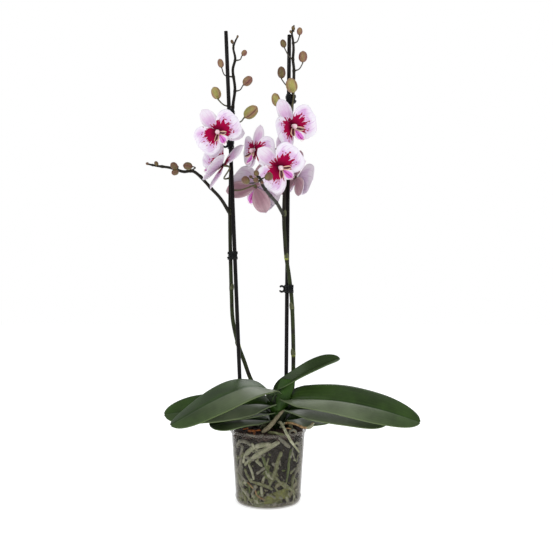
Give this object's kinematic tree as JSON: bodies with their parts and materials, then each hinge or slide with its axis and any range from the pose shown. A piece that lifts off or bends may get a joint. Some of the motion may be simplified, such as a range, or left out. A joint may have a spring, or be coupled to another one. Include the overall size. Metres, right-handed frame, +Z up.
{
  "type": "potted orchid",
  "caption": "Moth orchid with lilac and crimson flowers on staked spikes, growing in bark in a clear nursery pot",
  "frame": {"origin": "middle of the pot's underside, at mount base", "axes": "+Z up along the stakes, -Y the side that the open flowers and the two large leaves face, +X to the right seen from that side"},
  "size_m": [0.4143, 0.1838, 0.7633],
  "materials": {
    "pot_plastic": "clear smoky polypropylene, slightly hazy",
    "bark": "coarse dark pine bark chips",
    "root": "silvery grey-green root skin",
    "crown": "smooth green leaf bases",
    "leaf": "thick dark green leaf, satin",
    "spike": "smooth dark green flower stem",
    "stake": "near-black support stake, satin",
    "clip": "black moulded plastic",
    "sepal": "pale pink sepal",
    "petal": "lilac petal with a white margin and a crimson base",
    "lip": "magenta and crimson lip",
    "bud": "olive-green bud with a pink blush"
  },
  "bodies": {
    "root": {"pot": "pot_plastic", "bark_mix": "bark", "crown": "crown", "young_leaf": "leaf", "front_left_leaf": "leaf", "front_right_leaf": "leaf", "middle_left_leaf": "leaf", "lower_right_leaf": "leaf", "back_left_leaf": "leaf", "lowest_right_leaf": "leaf", "lowest_left_leaf": "leaf", "left_spike": "spike", "right_spike": "spike", "left_stake": "stake", "right_stake": "stake", "left_lower_clip": "clip", "left_upper_clip": "clip", "right_lower_clip": "clip", "right_upper_clip": "clip", "left_bud_1": "bud", "left_bud_2": "bud", "left_bud_3": "bud", "left_bud_4": "bud", "left_bud_5": "bud", "right_bud_1": "bud", "right_bud_2": "bud", "right_bud_3": "bud", "right_bud_4": "bud", "right_bud_5": "bud", "right_bud_6": "bud", "left_branch_bud_1": "bud", "left_branch_bud_2": "bud", "right_branch_bud_1": "bud", "right_branch_bud_2": "bud", "flower_1_sepals": "sepal", "flower_1_petals": "petal", "flower_1_lip": "lip", "flower_2_sepals": "sepal", "flower_2_petals": "petal", "flower_2_lip": "lip", "flower_3_sepals": "sepal", "flower_3_petals": "petal", "flower_3_lip": "lip", "flower_4_sepals": "sepal", "flower_4_petals": "petal", "flower_4_lip": "lip", "flower_5_sepals": "sepal", "flower_5_petals": "petal", "flower_5_lip": "lip", "flower_6_sepals": "sepal", "flower_6_petals": "petal", "flower_6_lip": "lip", "flower_7_sepals": "sepal", "flower_7_petals": "petal", "flower_7_lip": "lip", "rim_root": "root", "dry_root": "root", "stub_root": "root", "wall_root_1": "root", "wall_root_2": "root"}
  },
  "joints": []
}
